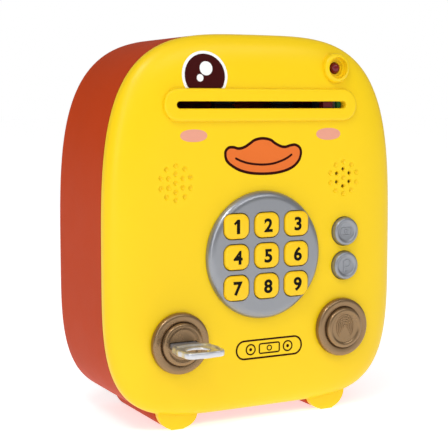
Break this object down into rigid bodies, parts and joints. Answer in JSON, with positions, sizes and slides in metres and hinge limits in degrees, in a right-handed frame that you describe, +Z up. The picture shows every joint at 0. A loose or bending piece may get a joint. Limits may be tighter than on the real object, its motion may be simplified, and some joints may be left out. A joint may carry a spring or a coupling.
{
  "type": "toy cash machine money bank",
  "caption": "Upright toy cash machine money bank with a hinged duckling-faced door, note slot, keypad, key lock and print button.",
  "frame": {"origin": "On the surface that the bank stands on, under the middle of its bounding box (hinge knuckles and key bow included).", "axes": "+X to the right seen from the front, +Y from the face to the back, +Z up. The face looks along -Y."},
  "size_m": [0.1808, 0.1116, 0.2084],
  "materials": {
    "red_shell": "satin red-orange ABS",
    "yellow_shell": "satin yellow ABS",
    "yellow_keys": "yellow ABS with printed black digits",
    "cream_plastic": "matt cream ABS",
    "silver_trim": "silver-sprayed ABS",
    "gold_trim": "gold-sprayed ABS",
    "steel": "zinc-plated steel",
    "key_metal": "nickel-plated",
    "brass": "turned brass",
    "nylon": "natural nylon",
    "roller_rubber": "black rubber",
    "grey_plastic": "grey ABS",
    "circuit_board": "green solder mask",
    "dark_lens": "clear dark red acrylic",
    "cell_jacket": "printed jacket"
  },
  "bodies": {
    "case": {"rear_case": "red_shell", "hinge_pin": "steel", "strike_plate": "steel", "strike_screw_1": "steel", "strike_screw_2": "steel"},
    "door": {"door_shell": "yellow_shell", "door_inner_cover": "cream_plastic", "battery_cover": "cream_plastic", "battery_screw": "steel", "keypad_bezel": "silver_trim", "keypad_mat": "roller_rubber", "main_board": "circuit_board", "print_board": "circuit_board", "speaker": "steel", "eye_lens": "dark_lens", "note_sensor": "dark_lens", "sensor_mount": "circuit_board", "lock_ring": "gold_trim", "print_ring": "gold_trim", "feed_frame": "grey_plastic", "feed_motor": "steel", "battery_tray": "grey_plastic", "contact_strip_left": "steel", "contact_strip_right": "steel", "cover_screw_1": "steel", "cover_screw_2": "steel", "cover_screw_3": "steel", "cover_screw_4": "steel", "battery_1": "cell_jacket", "battery_spring_1": "steel", "battery_2": "cell_jacket", "battery_spring_2": "steel", "battery_3": "cell_jacket", "battery_spring_3": "steel"},
    "lock_rotor_body": {"lock_rotor": "gold_trim", "lock_cam": "steel", "cam_nut": "steel"},
    "key_body": {"key": "key_metal"},
    "pinion": {"motor_pinion": "brass"},
    "drive": {"feed_gear": "nylon", "drive_shaft": "steel", "drive_roller_left": "roller_rubber", "drive_roller_right": "roller_rubber"},
    "idler": {"idler_shaft": "steel", "idler_roller_left": "roller_rubber", "idler_roller_right": "roller_rubber"},
    "upper_button_body": {"upper_button": "silver_trim"},
    "lower_button_body": {"lower_button": "silver_trim"},
    "print_button_body": {"print_button": "gold_trim"},
    "key_1_body": {"key_1": "yellow_keys"},
    "key_2_body": {"key_2": "yellow_keys"},
    "key_3_body": {"key_3": "yellow_keys"},
    "key_4_body": {"key_4": "yellow_keys"},
    "key_5_body": {"key_5": "yellow_keys"},
    "key_6_body": {"key_6": "yellow_keys"},
    "key_7_body": {"key_7": "yellow_keys"},
    "key_8_body": {"key_8": "yellow_keys"},
    "key_9_body": {"key_9": "yellow_keys"}
  },
  "joints": [
    {"name": "door_hinge", "type": "hinge", "parent": "case", "child": "door", "pos_m": [0.08765, -0.00115, 0.0858], "axis": [0, 0, 1], "range_deg": [0, 110]},
    {"name": "lock_turn", "type": "hinge", "parent": "door", "child": "lock_rotor_body", "pos_m": [-0.05255, -0.02215, 0.0485], "axis": [0, 1, 0], "range_deg": [0, 90]},
    {"name": "key_slide", "type": "slide", "parent": "lock_rotor_body", "child": "key_body", "axis": [0, -1, 0], "range_m": [0, 0.026]},
    {"name": "key_1_press", "type": "slide", "parent": "door", "child": "key_1_body", "axis": [0, 1, 0], "range_m": [0, 0.0014], "stiffness_N_per_m": 500, "springref_m": -0.0004},
    {"name": "key_2_press", "type": "slide", "parent": "door", "child": "key_2_body", "axis": [0, 1, 0], "range_m": [0, 0.0014], "stiffness_N_per_m": 500, "springref_m": -0.0004},
    {"name": "key_3_press", "type": "slide", "parent": "door", "child": "key_3_body", "axis": [0, 1, 0], "range_m": [0, 0.0014], "stiffness_N_per_m": 500, "springref_m": -0.0004},
    {"name": "key_4_press", "type": "slide", "parent": "door", "child": "key_4_body", "axis": [0, 1, 0], "range_m": [0, 0.0014], "stiffness_N_per_m": 500, "springref_m": -0.0004},
    {"name": "key_5_press", "type": "slide", "parent": "door", "child": "key_5_body", "axis": [0, 1, 0], "range_m": [0, 0.0014], "stiffness_N_per_m": 500, "springref_m": -0.0004},
    {"name": "key_6_press", "type": "slide", "parent": "door", "child": "key_6_body", "axis": [0, 1, 0], "range_m": [0, 0.0014], "stiffness_N_per_m": 500, "springref_m": -0.0004},
    {"name": "key_7_press", "type": "slide", "parent": "door", "child": "key_7_body", "axis": [0, 1, 0], "range_m": [0, 0.0014], "stiffness_N_per_m": 500, "springref_m": -0.0004},
    {"name": "key_8_press", "type": "slide", "parent": "door", "child": "key_8_body", "axis": [0, 1, 0], "range_m": [0, 0.0014], "stiffness_N_per_m": 500, "springref_m": -0.0004},
    {"name": "key_9_press", "type": "slide", "parent": "door", "child": "key_9_body", "axis": [0, 1, 0], "range_m": [0, 0.0014], "stiffness_N_per_m": 500, "springref_m": -0.0004},
    {"name": "upper_button_press", "type": "slide", "parent": "door", "child": "upper_button_body", "axis": [0, 1, 0], "range_m": [0, 0.0016], "stiffness_N_per_m": 500, "springref_m": -0.0004},
    {"name": "lower_button_press", "type": "slide", "parent": "door", "child": "lower_button_body", "axis": [0, 1, 0], "range_m": [0, 0.0016], "stiffness_N_per_m": 500, "springref_m": -0.0004},
    {"name": "print_button_press", "type": "slide", "parent": "door", "child": "print_button_body", "axis": [0, 1, 0], "range_m": [0, 0.0018], "stiffness_N_per_m": 600, "springref_m": -0.0004},
    {"name": "feed_spin", "type": "hinge", "parent": "door", "child": "drive", "pos_m": [-0.05935, -0.01065, 0.16615], "axis": [1, 0, 0], "continuous": true},
    {"name": "pinion_spin", "type": "hinge", "parent": "door", "child": "pinion", "pos_m": [-0.05935, -0.00535, 0.15697], "axis": [1, 0, 0], "continuous": true},
    {"name": "idler_spin", "type": "hinge", "parent": "door", "child": "idler", "pos_m": [-0.00295, -0.01065, 0.17645], "axis": [1, 0, 0], "continuous": true}
  ],
  "couplings": [
    {"joint": "pinion_spin", "follows": "feed_spin", "ratio": -2.25},
    {"joint": "idler_spin", "follows": "feed_spin", "ratio": -1}
  ]
}
